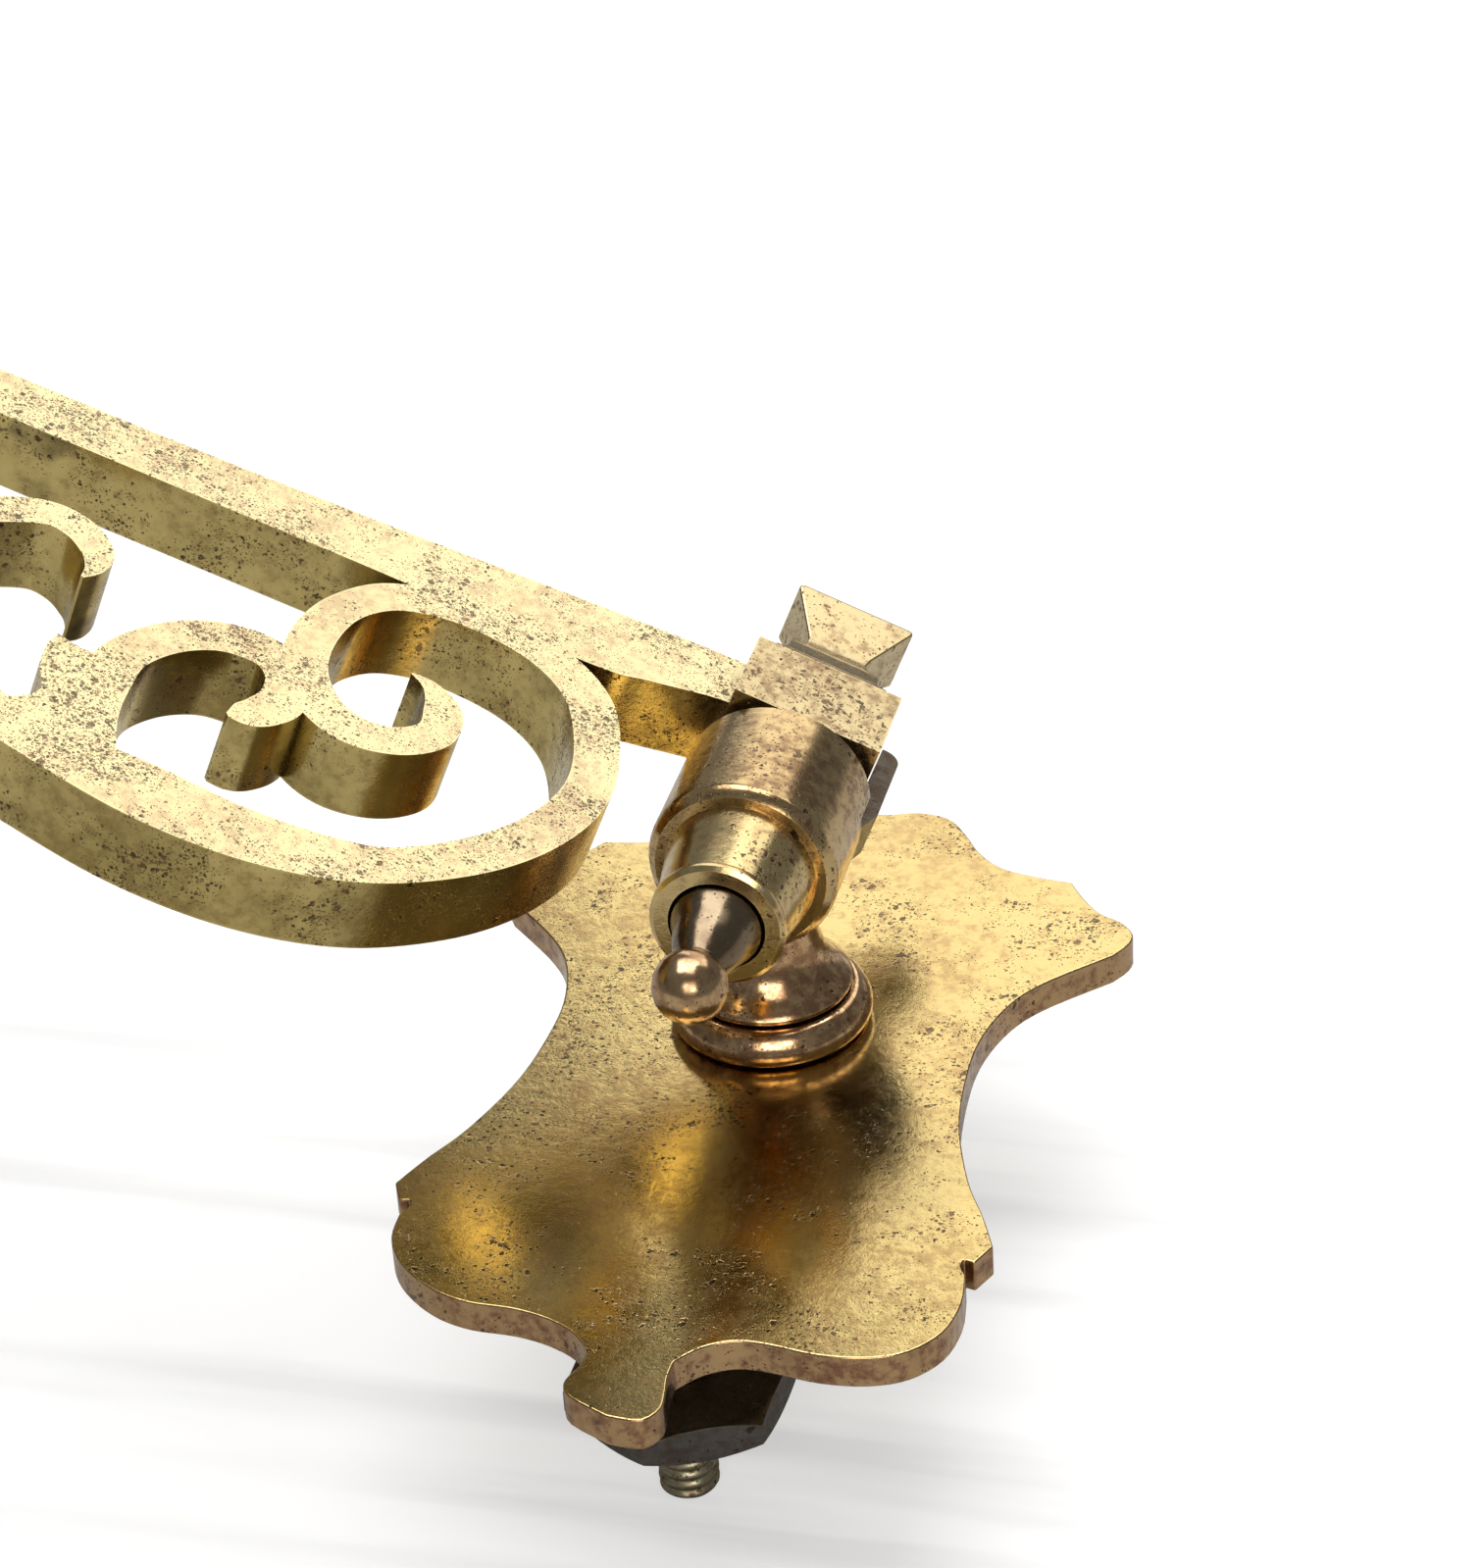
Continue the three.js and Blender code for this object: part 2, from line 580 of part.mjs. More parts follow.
function candleCup() {
  const outer = CANDLE_RADIUS + CUP_WALL;
  const body = turned([
    [0, stemEnd],
    [STEM_RADIUS, stemEnd],
    [STEM_RADIUS, cupLow],
    [9.4, cupLow],
    [9.8, cupLow + 0.8],
    [9.0, cupLow + 1.8],
    [5.8, cupLow + 2.8],
    [4.9, cupLow + 4.4],
    [5.8, cupLow + 5.4],
    [9.2, cupLow + 6.4],
    [outer - 0.7, seat - 0.4],
    [outer, seat + 2.4],
    [outer - 0.3, cupTop - 6],
    [outer + 0.2, cupTop - 2.6],
    [outer + 2.2, cupTop - 1.2],
    [outer + 2.4, cupTop - 0.5],
    [outer + 1.9, cupTop],
    [CANDLE_RADIUS, cupTop],
    [CANDLE_RADIUS, seat],
    [0, seat],
  ]);
  return piece('candle_cup', body, turnedBrass);
}

function pendantNut() {
  const top = bossLow - GAP;
  const r = PENDANT_RADIUS;
  const body = turned([
    [0, top],
    [r, top],
    [r + 0.3, top - 0.9],
    [r, top - 1.8],
    [r - 0.9, top - 2.4],
    [r - 0.7, top - 5.0],
    [r - 1.6, top - 8.2],
    [r - 3.2, top - 10.2],
    [r - 3.6, top - 11.0],
    [2.9, top - 12.4],
    [3.3, top - 14.0],
    [2.9, top - 15.6],
    [1.6, top - 16.8],
    [0, top - 17.2],
  ], 32);
  const hole = turned([
    [0, top + 1],
    [STEM_RADIUS + GAP, top + 1],
    [STEM_RADIUS + GAP, stemEnd - GAP],
    [0, stemEnd - GAP],
  ], 24);
  return piece('pendant_nut', body.subtract(hole), turnedBrass);
}

// ---- Assembly ----

const group = new THREE.Group();
group.add(
  wallPlate(),
  stud('stud_upper', 1),
  stud('stud_lower', -1),
  nut('nut_upper', 1, NUT_STANDOFF.upper, NUT_TURN.upper),
  nut('nut_lower', -1, NUT_STANDOFF.lower, NUT_TURN.lower),
  neckFlange(),
  barrelAndNeck(),
);

const candleEnd = new THREE.Group();
candleEnd.position.x = ARM_REACH;
candleEnd.add(dripPan(), candleCup(), pendantNut());

const arm = new THREE.Group();
arm.position.set(0, -BARREL_REACH, NECK_RISE);
arm.rotation.z = -rad(90 + REST_SWING);
arm.add(armCasting(), stopWasher(), pivotPlug(), topFinial(), candleEnd);
group.add(arm);

export default group;
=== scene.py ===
import json
import math

import bmesh
import bpy
from mathutils import Matrix, Vector

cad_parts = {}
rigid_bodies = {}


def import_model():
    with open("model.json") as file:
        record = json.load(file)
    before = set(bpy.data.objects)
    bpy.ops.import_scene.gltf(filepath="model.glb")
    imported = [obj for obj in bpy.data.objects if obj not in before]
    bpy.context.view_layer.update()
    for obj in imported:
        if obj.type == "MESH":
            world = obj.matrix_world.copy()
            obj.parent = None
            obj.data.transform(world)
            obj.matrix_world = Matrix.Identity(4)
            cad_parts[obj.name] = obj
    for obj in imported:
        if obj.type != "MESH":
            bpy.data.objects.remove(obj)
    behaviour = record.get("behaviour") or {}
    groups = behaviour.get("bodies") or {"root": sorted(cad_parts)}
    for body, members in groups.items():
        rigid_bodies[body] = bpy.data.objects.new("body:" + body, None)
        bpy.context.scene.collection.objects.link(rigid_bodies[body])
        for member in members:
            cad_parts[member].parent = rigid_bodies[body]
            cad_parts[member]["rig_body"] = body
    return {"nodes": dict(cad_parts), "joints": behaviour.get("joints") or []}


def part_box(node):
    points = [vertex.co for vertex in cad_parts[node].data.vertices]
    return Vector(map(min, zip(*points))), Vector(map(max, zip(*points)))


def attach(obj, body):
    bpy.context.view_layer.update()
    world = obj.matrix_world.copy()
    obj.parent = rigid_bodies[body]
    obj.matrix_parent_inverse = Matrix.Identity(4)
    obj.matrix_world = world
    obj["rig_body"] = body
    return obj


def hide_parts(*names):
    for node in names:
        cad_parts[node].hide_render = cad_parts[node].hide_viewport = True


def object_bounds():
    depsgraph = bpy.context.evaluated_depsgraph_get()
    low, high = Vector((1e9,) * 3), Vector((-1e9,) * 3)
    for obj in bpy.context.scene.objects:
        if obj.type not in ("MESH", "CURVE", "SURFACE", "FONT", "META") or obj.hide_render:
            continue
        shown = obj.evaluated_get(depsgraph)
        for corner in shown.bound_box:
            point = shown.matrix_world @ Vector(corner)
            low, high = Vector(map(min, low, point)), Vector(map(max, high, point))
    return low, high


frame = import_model()
cad_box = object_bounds()
MM = 0.001

# ---- Places taken from the frame ----

HINGE = Vector(frame["joints"][0]["pos_m"])


def middle(node):
    low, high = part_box(node)
    return (low + high) / 2


CANDLE = middle("candle_cup")
ALONG_ARM = Vector((CANDLE.x - HINGE.x, CANDLE.y - HINGE.y, 0)).normalized()
ARM_SIDE = ALONG_ARM.cross(Vector((0, 0, 1)))
BLOCK_END = 9.5 * MM     # from the hinge axis to where the arm's hinge block ends
NECK_START = 9.5 * MM    # from the hinge axis to where the neck leaves the barrel
BARREL_FOOT = 9 * MM     # height of the barrel's lower part, left without the painted shade of the part above
BALL_HEIGHT = 7 * MM     # height of the ball at the foot of the pivot plug
BARREL_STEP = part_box("barrel_and_neck")[0].z + BARREL_FOOT
BALL_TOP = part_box("pivot_plug")[0].z + BALL_HEIGHT
NECK_REFLECTION_MIDDLE = Vector((8 * MM, -4 * MM, -18 * MM))    # middle of the painted dark reflection of the neck on the plate
# reach of the painted dark reflection of the neck on the plate
NECK_REFLECTION_REACH = 18 * MM


# ---- Camera, light and stage ----

CAMERA_PLACE = (0.10889, -0.28480, -0.38273)
CAMERA_RIGHT = Vector((0.96925, 0.05496, 0.23986))
CAMERA_DOWN = Vector((0.08165, 0.84770, -0.52416))
LENS = 110.56
LIGHT_CENTRE = Vector((-0.03, -0.03, 0))
WARM_WHITE = (1, 0.985, 0.95)
WARMER_WHITE = (1, 0.97, 0.92)


def place_camera():
    """The camera stands below the sconce and looks up at the wall."""
    data = bpy.data.cameras.new("camera")
    data.sensor_fit = "HORIZONTAL"
    data.sensor_width = 36
    data.lens = LENS
    data.clip_start = 0.01
    camera = bpy.data.objects.new("camera", data)
    forward = CAMERA_RIGHT.cross(CAMERA_DOWN).normalized()
    turn = Matrix((CAMERA_RIGHT, -CAMERA_DOWN, -forward)).transposed()
    camera.matrix_world = Matrix.Translation(CAMERA_PLACE) @ turn.to_4x4()
    bpy.context.scene.collection.objects.link(camera)
    bpy.context.scene.camera = camera


def softbox(name, towards, distance, size, power, colour=(1, 1, 1), roll=0):
    """A soft light that faces the object, turned about its own direction by roll degrees."""
    data = bpy.data.lights.new(name, "AREA")
    data.shape = "RECTANGLE"
    data.size, data.size_y = size
    data.energy = power
    data.color = colour
    light = bpy.data.objects.new(name, data)
    away = Vector(towards).normalized()
    in_front = abs(away.z) < 0.3
    if in_front:
        along = -Vector((1, 0, 0)).cross(away).cross(away).normalized()
    else:
        along = Vector((away.z, 0, -away.x)).normalized()
    upright = Matrix((along, away.cross(along), away)).transposed()
    turn = Matrix.Rotation(math.radians(-roll), 3, away) @ upright
    light.matrix_world = Matrix.Translation(LIGHT_CENTRE + away * distance) @ turn.to_4x4()
    light.visible_camera = False
    bpy.context.scene.collection.objects.link(light)


def light_studio():
    """A dim even room, which the camera sees as near white, and three soft lights."""
    world = bpy.data.worlds.new("studio")
    world.use_nodes = True
    nodes, links = world.node_tree.nodes, world.node_tree.links
    nodes.clear()
    seen = nodes.new("ShaderNodeBackground")
    seen.inputs["Color"].default_value = (0.93, 0.93, 0.94, 1)
    lit = nodes.new("ShaderNodeBackground")
    lit.inputs["Color"].default_value = (0.96, 0.98, 1.0, 1)
    lit.inputs["Strength"].default_value = 0.19
    path = nodes.new("ShaderNodeLightPath")
    mix = nodes.new("ShaderNodeMixShader")
    out = nodes.new("ShaderNodeOutputWorld")
    links.new(path.outputs["Is Camera Ray"], mix.inputs["Fac"])
    links.new(lit.outputs[0], mix.inputs[1])
    links.new(seen.outputs[0], mix.inputs[2])
    links.new(mix.outputs[0], out.inputs["Surface"])
    bpy.context.scene.world = world
    softbox("window_light", (0.075, -0.555, 0.83), 1.2, (1.75, 0.64), 5.2, WARM_WHITE, roll=44)
    softbox("ceiling_light", (-0.1, -1.0, 0.2), 1.4, (1.2, 1.2), 18)
    softbox("room_light", (0.26, -0.5, -0.83), 1.4, (0.9, 0.6), 7, WARMER_WHITE)
    view = bpy.context.scene.view_settings
    view.view_transform = "Standard"
    view.exposure = 0.0


def wall_colour(nodes, links):
    """Near white with long faint grey streaks."""
    coord = nodes.new("ShaderNodeTexCoord")
    stretch = nodes.new("ShaderNodeMapping")
    stretch.inputs["Scale"].default_value = (6, 1, 90)
    links.new(coord.outputs["Object"], stretch.inputs["Vector"])
    streaks = nodes.new("ShaderNodeTexNoise")
    streaks.inputs["Scale"].default_value = 1.0
    streaks.inputs["Detail"].default_value = 4
    links.new(stretch.outputs["Vector"], streaks.inputs["Vector"])
    tone = nodes.new("ShaderNodeValToRGB")
    low, high = tone.color_ramp.elements
    low.position = 0.38
    low.color = (0.78, 0.78, 0.79, 1)
    high.position = 0.52
    high.color = (0.97, 0.97, 0.97, 1)
    links.new(streaks.outputs["Fac"], tone.inputs["Fac"])
    return tone.outputs["Color"]


def wall_material():
    """A pale surface that glows for the camera alone and is clear from behind."""
    material = bpy.data.materials.new("pale_wall")
    material.use_nodes = True
    nodes, links = material.node_tree.nodes, material.node_tree.links
    nodes.clear()
    colour = wall_colour(nodes, links)
    surface = nodes.new("ShaderNodeBsdfPrincipled")
    surface.inputs["Roughness"].default_value = 0.6
    path = nodes.new("ShaderNodeLightPath")
    shade = nodes.new("ShaderNodeMix")
    shade.data_type = "RGBA"
    shade.inputs[6].default_value = (0.5, 0.49, 0.47, 1)
    shade.inputs[7].default_value = (0.5, 0.5, 0.5, 1)
    links.new(path.outputs["Is Camera Ray"], shade.inputs[0])
    links.new(shade.outputs[2], surface.inputs["Base Color"])
    glow = nodes.new("ShaderNodeMath")
    glow.operation = "MULTIPLY"
    glow.inputs[1].default_value = 0.58
    links.new(path.outputs["Is Camera Ray"], glow.inputs[0])
    links.new(colour, surface.inputs["Emission Color"])
    links.new(glow.outputs[0], surface.inputs["Emission Strength"])
    facing = nodes.new("ShaderNodeNewGeometry")
    clear = nodes.new("ShaderNodeBsdfTransparent")
    mix = nodes.new("ShaderNodeMixShader")
    out = nodes.new("ShaderNodeOutputMaterial")
    links.new(facing.outputs["Backfacing"], mix.inputs["Fac"])
    links.new(surface.outputs[0], mix.inputs[1])
    links.new(clear.outputs[0], mix.inputs[2])
    links.new(mix.outputs[0], out.inputs["Surface"])
    return material


def lay_stage():
    """A pale surface behind the studs, seen only from the room side."""
    stud_gap = 0.3 * MM
    back = cad_box[1][1] + stud_gap
    half = 2.5
    mesh = bpy.data.meshes.new("pale_wall")
    corners = [(-half, back, -half), (half, back, -half), (half, back, half), (-half, back, half)]
    mesh.from_pydata(corners, [], [(0, 1, 2, 3)])
    wall = bpy.data.objects.new("pale_wall", mesh)
    mesh.materials.append(wall_material())
    bpy.context.scene.collection.objects.link(wall)


# ---- Materials ----

class Weave:
    """A small helper that adds nodes to one material."""

    def __init__(self, name):
        self.material = bpy.data.materials.new(name)
        self.material.use_nodes = True
        self.nodes = self.material.node_tree.nodes
        self.links = self.material.node_tree.links
        self.nodes.clear()
        self.coord = self.add("ShaderNodeTexCoord").outputs["Object"]

    def add(self, kind, **settings):
        node = self.nodes.new(kind)
        for key, value in settings.items():
            setattr(node, key, value)
        return node

    def join(self, source, target):
        if hasattr(source, "is_output"):
            self.links.new(source, target)
        else:
            target.default_value = source

    def shifted(self, shift):
        """The coordinate moved, so that two textures of one kind don't coincide."""
        mapping = self.add("ShaderNodeMapping")
        mapping.inputs["Location"].default_value = (shift, shift * 0.7, shift * 1.3)
        self.links.new(self.coord, mapping.inputs["Vector"])
        return mapping.outputs["Vector"]

    def noise(self, scale, detail=3, roughness=0.5, shift=0):
        node = self.add("ShaderNodeTexNoise")
        node.inputs["Scale"].default_value = scale
        node.inputs["Detail"].default_value = detail
        node.inputs["Roughness"].default_value = roughness
        self.links.new(self.shifted(shift) if shift else self.coord, node.inputs["Vector"])
        return node.outputs["Fac"]

    def maths(self, operation, a, b=0.0):
        node = self.add("ShaderNodeMath", operation=operation)
        self.join(a, node.inputs[0])
        self.join(b, node.inputs[1])
        return node.outputs[0]

    def span(self, value, low, high, to_low=0.0, to_high=1.0):
        """value from low..high to to_low..to_high, held at the ends."""
        node = self.add("ShaderNodeMapRange", interpolation_type="SMOOTHSTEP")
        self.join(value, node.inputs["Value"])
        node.inputs["From Min"].default_value = low
        node.inputs["From Max"].default_value = high
        node.inputs["To Min"].default_value = to_low
        node.inputs["To Max"].default_value = to_high
        return node.outputs["Result"]

    def dots(self, scale, share, crowd, biggest, shift=0):
        """Separate ragged dots: share of the cells hold one, of any size up to biggest cells."""
        place = self.shifted(shift)
        ragged = self.add("ShaderNodeTexNoise")
        ragged.inputs["Scale"].default_value = scale * 1.6
        ragged.inputs["Detail"].default_value = 2
        self.links.new(place, ragged.inputs["Vector"])
        pull = self.add("ShaderNodeVectorMath", operation="MULTIPLY_ADD")
        self.links.new(ragged.outputs["Color"], pull.inputs[0])
        pull.inputs[1].default_value = [0.9 / scale] * 3
        self.links.new(place, pull.inputs[2])
        cells = self.add("ShaderNodeTexVoronoi")
        cells.inputs["Scale"].default_value = scale
        self.links.new(pull.outputs[0], cells.inputs["Vector"])
        draw = self.add("ShaderNodeSeparateColor")
        self.links.new(cells.outputs["Color"], draw.inputs[0])
        chance = self.maths("ADD", draw.outputs[0], crowd)
        radius = self.span(chance, 1 - share, 1.0, -0.1, biggest)
        outside = self.maths("SUBTRACT", cells.outputs["Distance"], radius)
        return self.span(outside, 0.06, -0.02)

    def blend(self, share, a, b):
        node = self.add("ShaderNodeMix", data_type="RGBA")
        self.join(share, node.inputs[0])
        for value, target in ((a, node.inputs[6]), (b, node.inputs[7])):
            if isinstance(value, tuple):
                target.default_value = (*value, 1)
            else:
                self.links.new(value, target)
        return node.outputs[2]

    def worn_edge(self, radius):
        """1 on sharp edges, 0 on flats."""
        bevel = self.add("ShaderNodeBevel", samples=4)
        bevel.inputs["Radius"].default_value = radius
        geometry = self.add("ShaderNodeNewGeometry")
        dot = self.add("ShaderNodeVectorMath", operation="DOT_PRODUCT")
        self.links.new(bevel.outputs[0], dot.inputs[0])
        self.links.new(geometry.outputs["Normal"], dot.inputs[1])
        return self.span(dot.outputs["Value"], 0.995, 0.9, 0, 1)

    def corner_shade_mask(self, reach):
        """0 in the open, towards 1 in tight corners: the mask for painted shade."""
        node = self.add("ShaderNodeAmbientOcclusion", samples=4, only_local=True)
        node.inputs["Distance"].default_value = reach
        return self.span(node.outputs["AO"], 0.75, 0.2, 0, 1)

    def nearness(self, point, uneven, near, far):
        """1 close to the point, 0 beyond far, with an uneven border."""
        away = self.add("ShaderNodeVectorMath", operation="DISTANCE")
        self.links.new(self.coord, away.inputs[0])
        away.inputs[1].default_value = point
        return self.span(self.maths("ADD", away.outputs["Value"], uneven), far, near)

    def finish(self, colour, roughness, height, depth):
        surface = self.add("ShaderNodeBsdfPrincipled")
        surface.inputs["Metallic"].default_value = 1.0
        self.links.new(colour, surface.inputs["Base Color"])
        self.links.new(roughness, surface.inputs["Roughness"])
        bump = self.add("ShaderNodeBump")
        bump.inputs["Strength"].default_value = 1.0
        bump.inputs["Distance"].default_value = depth
        self.links.new(height, bump.inputs["Height"])
        self.links.new(bump.outputs[0], surface.inputs["Normal"])
        out = self.add("ShaderNodeOutputMaterial")
        self.links.new(surface.outputs[0], out.inputs["Surface"])
        return self.material


DARK_PIT = (0.035, 0.024, 0.016)
BROWN_PIT = (0.15, 0.085, 0.05)
# colour of the painted dark reflection of the neck on the plate
NECK_REFLECTION_DARK = (0.10, 0.085, 0.05)
EDGE_WEAR = 0.4 * MM
# reach of the painted shade in tight corners
CORNER_SHADE_REACH = 7 * MM
PIT_DEPTH = 0.035 * MM


def scaled(colour, factor):
    return tuple(min(1, factor * channel) for channel in colour)


def pits(w, crowding, specks, scale, size):
    """Fine, middling and large dots, more of them where they crowd together."""
    cluster = w.noise(110, detail=4, roughness=0.65, shift=23)
    crowd = w.span(cluster, 0.3, 0.7, -crowding, crowding)
    fine = w.dots(scale * 2.1, specks, crowd, size, shift=0.11)
    middling = w.dots(scale, specks * 0.6, crowd, size, shift=0.17)
    large = w.dots(scale * 0.42, specks * 0.14, crowd, size * 0.8, shift=0.29)
    return w.maths("MAXIMUM", w.maths("MAXIMUM", fine, middling), large)


def aged_metal(name, light, deep, patina, patina_share, rough, edge, specks=0.3, crowding=0.12,
               speck_scale=1500, speck_size=0.42, tone=(0.4, 0.7), mottling=0.5, soot=0, neck_reflection=0):
    """Old brass, bronze or steel: drifting tone, stains, fine dark pits and bright worn edges.

    The tone goes from light to deep between the two noise values in tone, in fine mottling
    where mottling is 1 and in broad clouds where it is 0. patina_share, edge, soot and
    neck_reflection say how strongly the stains, worn edges, soot and the painted dark
    reflection of the neck on the plate show. Tight corners always get painted shade. specks is
    the share of cells that hold a pit, and crowding says how unevenly the pits are spread.
    Noise scales count cells to the metre.
    """
    w = Weave(name)
    cloud = w.noise(55, detail=4, roughness=0.55)
    mottle = w.noise(700, detail=6, roughness=0.66, shift=3)
    grain = w.noise(4200, detail=2, roughness=0.6, shift=7)
    dots = pits(w, crowding, specks, speck_scale, speck_size)

    drift = w.maths("ADD", w.maths("MULTIPLY", mottle, mottling),
                    w.maths("MULTIPLY", cloud, 1 - mottling))
    colour = w.blend(w.span(drift, *tone), light, deep)
    stain = w.maths("ADD", mottle, w.maths("MULTIPLY", cloud, 0.5))
    colour = w.blend(w.span(stain, 0.70, 0.92, 0, patina_share), colour, patina)
    # painted reflection: the colour darkens around a point near the neck, as if the plate mirrored it
    if neck_reflection:
        uneven = w.maths("MULTIPLY", cloud, NECK_REFLECTION_REACH)
        near = w.nearness(NECK_REFLECTION_MIDDLE, uneven, 0.5 * NECK_REFLECTION_REACH, 1.7 * NECK_REFLECTION_REACH)
        colour = w.blend(w.maths("MULTIPLY", near, neck_reflection), colour, NECK_REFLECTION_DARK)
    if soot:
        sooty = w.span(w.noise(70, detail=3, shift=31), 0.6, 0.72, 0, soot)
        colour = w.blend(sooty, colour, DARK_PIT)
    worn = w.maths("MULTIPLY", w.worn_edge(EDGE_WEAR), edge)
    colour = w.blend(worn, colour, scaled(light, 1.15))
    # painted shade: the colour darkens towards a dim copy of deep in tight corners, from ambient
    # occlusion
    painted_corner_shade = w.maths("MULTIPLY", w.corner_shade_mask(CORNER_SHADE_REACH), 0.8)
    colour = w.blend(painted_corner_shade, colour, scaled(deep, 0.28))
    dot_colour = w.blend(w.span(mottle, 0.42, 0.6), DARK_PIT, BROWN_PIT)
    shown = w.maths("MULTIPLY", dots, w.span(grain, 0.25, 0.6, 0.45, 0.95))
    colour = w.blend(shown, colour, dot_colour)

    roughness = w.maths("ADD", w.span(mottle, 0.35, 0.7, *rough), w.maths("MULTIPLY", dots, 0.06))
    height = w.maths("SUBTRACT", w.maths("MULTIPLY", grain, 0.15), w.maths("MULTIPLY", dots, 0.5))
    height = w.maths("ADD", height, w.maths("MULTIPLY", mottle, 0.8))
    return w.finish(colour, roughness, height, PIT_DEPTH)


# the plate's brass also carries the painted dark reflection of the neck
plate_brass = aged_metal("plate_brass", (0.68, 0.515, 0.215), (0.53, 0.375, 0.145), (0.40, 0.24, 0.11),
                         specks=0.42, crowding=0.26, speck_scale=1900, patina_share=0.45,
                         rough=(0.10, 0.19), edge=0.6, mottling=0.35, neck_reflection=0.6)
plate_edge = aged_metal("plate_edge", (0.50, 0.33, 0.17), (0.28, 0.155, 0.085), (0.22, 0.10, 0.065),
                        specks=0.22, patina_share=0.7, rough=(0.14, 0.26), edge=0.95)
arm_face = aged_metal("arm_face", (0.74, 0.62, 0.345), (0.64, 0.51, 0.27), (0.44, 0.30, 0.19),
                      specks=0.78, crowding=0.34, speck_scale=2300, speck_size=0.46, patina_share=0.5,
                      rough=(0.18, 0.3), edge=0.8, mottling=0.35)
arm_wall = aged_metal("arm_wall", (0.70, 0.555, 0.225), (0.37, 0.285, 0.10), (0.24, 0.145, 0.06),
                      specks=0.4, crowding=0.25, speck_scale=2300, patina_share=0.35,
                      rough=(0.14, 0.25), edge=0.9, tone=(0.34, 0.66), mottling=0.2, soot=0.7)
turned_brass = aged_metal("turned_brass", (0.68, 0.525, 0.255), (0.46, 0.325, 0.15), (0.32, 0.17, 0.09),
                          specks=0.3, crowding=0.16, patina_share=0.6, rough=(0.14, 0.25), edge=0.9)
# painted shade: a darker copy of turned_brass for the barrel's upper part, standing in for the dark
# surroundings it reflects
shaded_barrel_brass = aged_metal("shaded_barrel_brass", (0.62, 0.445, 0.215), (0.33, 0.20, 0.095), (0.20, 0.11, 0.06),
                          specks=0.34, crowding=0.16, patina_share=0.6, rough=(0.14, 0.25), edge=0.9)
dull_brass = aged_metal("dull_brass", (0.60, 0.475, 0.255), (0.40, 0.29, 0.15), (0.27, 0.17, 0.09),
                        specks=0.5, crowding=0.18, patina_share=0.75, rough=(0.18, 0.3), edge=0.95)
neck_bronze = aged_metal("neck_bronze", (0.74, 0.50, 0.265), (0.48, 0.29, 0.145), (0.25, 0.12, 0.07),
                         specks=0.4, patina_share=0.6, rough=(0.12, 0.24), edge=0.9)
finial_brass = aged_metal("finial_brass", (0.64, 0.51, 0.275), (0.42, 0.305, 0.16), (0.30, 0.18, 0.10),
                          specks=0.45, patina_share=0.7, rough=(0.16, 0.28), edge=0.9)
plug_bronze = aged_metal("plug_bronze", (0.23, 0.175, 0.11), (0.15, 0.11, 0.07), (0.22, 0.14, 0.09),
                         specks=0.3, patina_share=0.5, rough=(0.16, 0.28), edge=0.4)
ball_bronze = aged_metal("ball_bronze", (0.62, 0.43, 0.235), (0.38, 0.235, 0.125), (0.26, 0.13, 0.075),
                         specks=0.2, patina_share=0.5, rough=(0.14, 0.26), edge=0.2)
stud_metal = aged_metal("stud_metal", (0.42, 0.38, 0.25), (0.24, 0.20, 0.13), (0.20, 0.13, 0.09),
                        specks=0.4, patina_share=0.5, rough=(0.3, 0.5), edge=0.6)
nut_steel = aged_metal("nut_steel", (0.14, 0.13, 0.12), (0.08, 0.07, 0.063), (0.10, 0.065, 0.045),
                       specks=0.3, patina_share=0.4, rough=(0.3, 0.45), edge=0.5)
black_steel = aged_metal("black_steel", (0.095, 0.075, 0.055), (0.05, 0.04, 0.03), (0.10, 0.06, 0.035),
                         specks=0.3, patina_share=0.5, rough=(0.26, 0.4), edge=0.6)


# ---- Shaping helpers ----

EDGE_STEPS = 3
SHARP_DEGREES = 35
WELD = 0.002 * MM


def into_scene(name, mesh, material, node):
    """Adds a mesh as a piece that stands for a node and moves with its body."""
    piece = bpy.data.objects.new(name, mesh)
    bpy.context.scene.collection.objects.link(piece)
    mesh.materials.clear()
    mesh.materials.append(material)
    body = frame["nodes"][node]["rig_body"]
    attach(piece, body)
    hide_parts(node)
    return piece


def refined(node, material, round_off):
    """A node's own shape with its edges rounded off and its curved walls smooth."""
    mesh = frame["nodes"][node].data.copy()
    bm = bmesh.new()
    bm.from_mesh(mesh)
    bmesh.ops.remove_doubles(bm, verts=bm.verts, dist=WELD)
    bmesh.ops.dissolve_degenerate(bm, edges=bm.edges, dist=WELD)
    bmesh.ops.dissolve_limit(bm, angle_limit=math.radians(0.6), verts=bm.verts, edges=bm.edges)
    for face in bm.faces:
        face.smooth = True
    bm.to_mesh(mesh)
    bm.free()
    piece = into_scene(node + "_finished", mesh, material, node)
    bevel = piece.modifiers.new("rounded_edges", "BEVEL")
    bevel.width = round_off
    bevel.segments = EDGE_STEPS
    bevel.limit_method = "ANGLE"
    bevel.angle_limit = math.radians(SHARP_DEGREES)
    bevel.miter_outer = "MITER_ARC"
    normals = piece.modifiers.new("flat_faces", "WEIGHTED_NORMAL")
    normals.keep_sharp = True
    return piece


def second_finish(piece, material, wanted):
    """Gives the piece's faces for which wanted(centre, normal) is true another material."""
    piece.data.materials.append(material)
    for face in piece.data.polygons:
        if wanted(face.center, face.normal):
            face.material_index = len(piece.data.materials) - 1


def is_scroll_wall(centre, normal):
    """The arm's flat sides, its block and the top of its bar were polished; the rest is as cast."""
    square_on = 0.9
    polished = abs(normal.dot(ARM_SIDE)) > square_on or normal.z > square_on
    return not polished and (centre - HINGE).dot(ALONG_ARM) > BLOCK_END


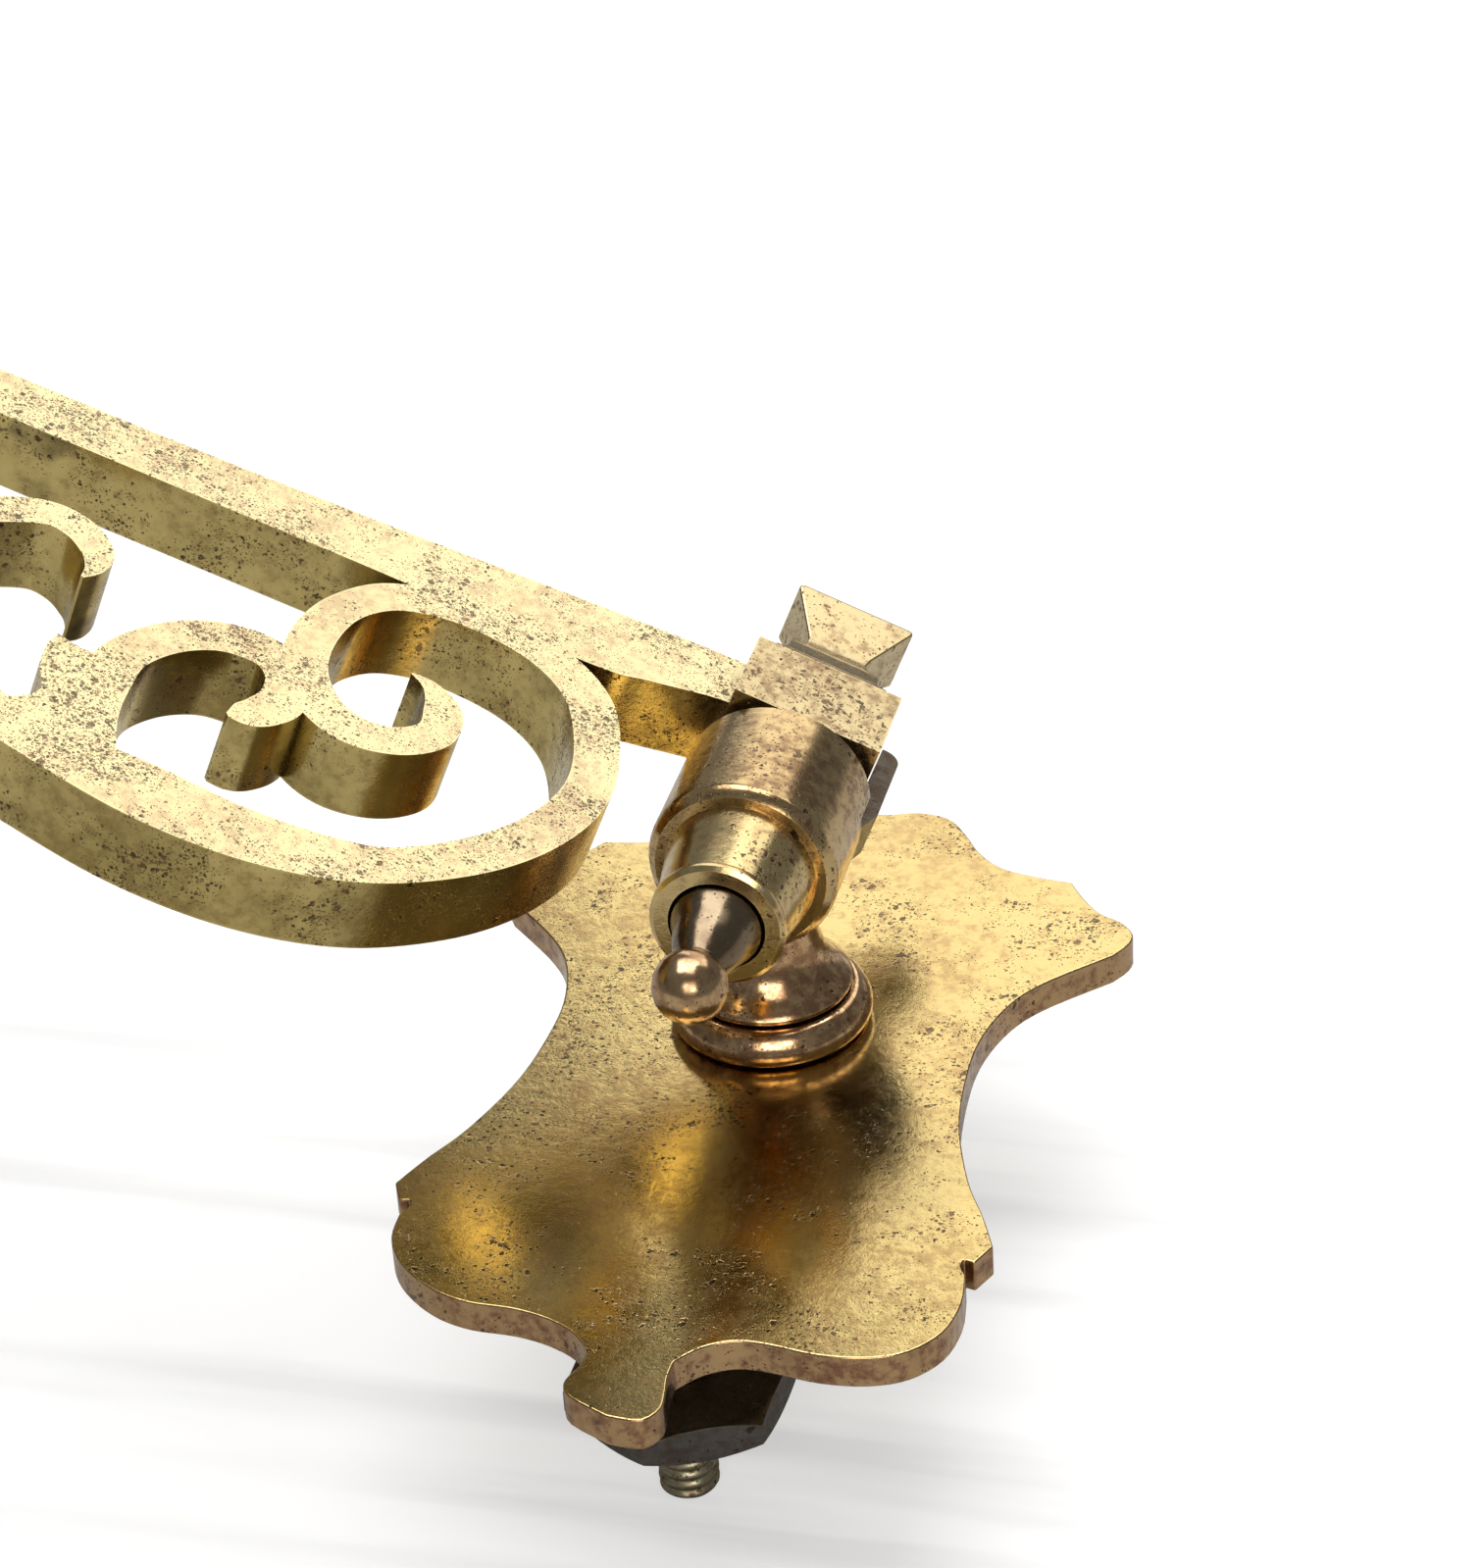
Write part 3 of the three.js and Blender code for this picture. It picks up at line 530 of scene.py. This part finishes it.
def is_block(centre, normal):
    return (centre - HINGE).dot(ALONG_ARM) < BLOCK_END


def is_plate_rim(centre, normal):
    return abs(normal.y) < 0.5


def is_ball(centre, normal):
    return centre.z < BALL_TOP


def is_barrel(centre, normal):
    """The wide upper part of the barrel, which gets a darker copy of its brass as painted shade."""
    return centre.z > BARREL_STEP


def is_neck(centre, normal):
    return centre.y > HINGE.y + NECK_START


# ---- Pieces ----

THREAD_PITCH = 1.27 * MM
THREAD_DEPTH = 0.4 * MM
THREAD_FLAT = 1.35       # above 1 leaves the thread's crests flat
THREAD_SIDES = 40
ROWS_PER_TURN = 8
STUD_POINT = 0.7 * MM    # length of the taper at the free end
POINT_SHARE = 0.8        # radius left at the very end


def thread_radius(radius, along, turn, length):
    """The stud's radius at a distance along it and a share of a turn round it."""
    phase = (along / THREAD_PITCH + turn) % 1
    crest = 1 - abs(2 * phase - 1)
    groove = THREAD_DEPTH * (1 - min(1, crest * THREAD_FLAT))
    taper = min(1, (length - along) / STUD_POINT)
    return (radius - groove) * (POINT_SHARE + (1 - POINT_SHARE) * taper)


def make_stud(name):
    """A threaded rod lying along Y, in the place of a stud's plain rod."""
    low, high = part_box(name)
    centre = (low + high) / 2
    radius = (high.z - low.z) / 2
    length = high.y - low.y
    rows = round(length / THREAD_PITCH * ROWS_PER_TURN)
    bm = bmesh.new()
    rings = []
    for row in range(rows + 1):
        along = length * row / rows
        ring = []
        for side in range(THREAD_SIDES):
            turn = side / THREAD_SIDES
            r = thread_radius(radius, along, turn, length)
            angle = 2 * math.pi * turn
            place = (r * math.cos(angle), low.y + along, r * math.sin(angle))
            ring.append(bm.verts.new(place))
        rings.append(ring)
    for a, b in zip(rings, rings[1:]):
        for i in range(THREAD_SIDES):
            j = (i + 1) % THREAD_SIDES
            bm.faces.new((a[i], a[j], b[j], b[i]))
    bm.faces.new(rings[0])
    bm.faces.new(rings[-1][::-1])
    bmesh.ops.recalc_face_normals(bm, faces=bm.faces)
    for face in bm.faces:
        face.smooth = len(face.verts) == 4
    bmesh.ops.translate(bm, verts=bm.verts, vec=(centre.x, 0, centre.z))
    mesh = bpy.data.meshes.new(name)
    bm.to_mesh(mesh)
    bm.free()
    into_scene(name + "_thread", mesh, stud_metal, name)


place_camera()
light_studio()
lay_stage()

plate = refined("wall_plate", plate_brass, 0.55 * MM)
second_finish(plate, plate_edge, is_plate_rim)
arm = refined("arm_casting", arm_face, 0.35 * MM)
second_finish(arm, arm_wall, is_scroll_wall)
second_finish(arm, dull_brass, is_block)
barrel = refined("barrel_and_neck", turned_brass, 0.25 * MM)
# the barrel's upper part gets the darker brass copy as painted shade
second_finish(barrel, shaded_barrel_brass, is_barrel)
second_finish(barrel, neck_bronze, is_neck)
refined("neck_flange", neck_bronze, 0.25 * MM)
refined("stop_washer", black_steel, 0.3 * MM)
plug = refined("pivot_plug", plug_bronze, 0.2 * MM)
second_finish(plug, ball_bronze, is_ball)
refined("top_finial", finial_brass, 0.3 * MM)
refined("nut_upper", nut_steel, 0.25 * MM)
refined("nut_lower", nut_steel, 0.25 * MM)
refined("drip_pan", turned_brass, 0.2 * MM)
refined("candle_cup", turned_brass, 0.2 * MM)
refined("pendant_nut", turned_brass, 0.2 * MM)
make_stud("stud_upper")
make_stud("stud_lower")
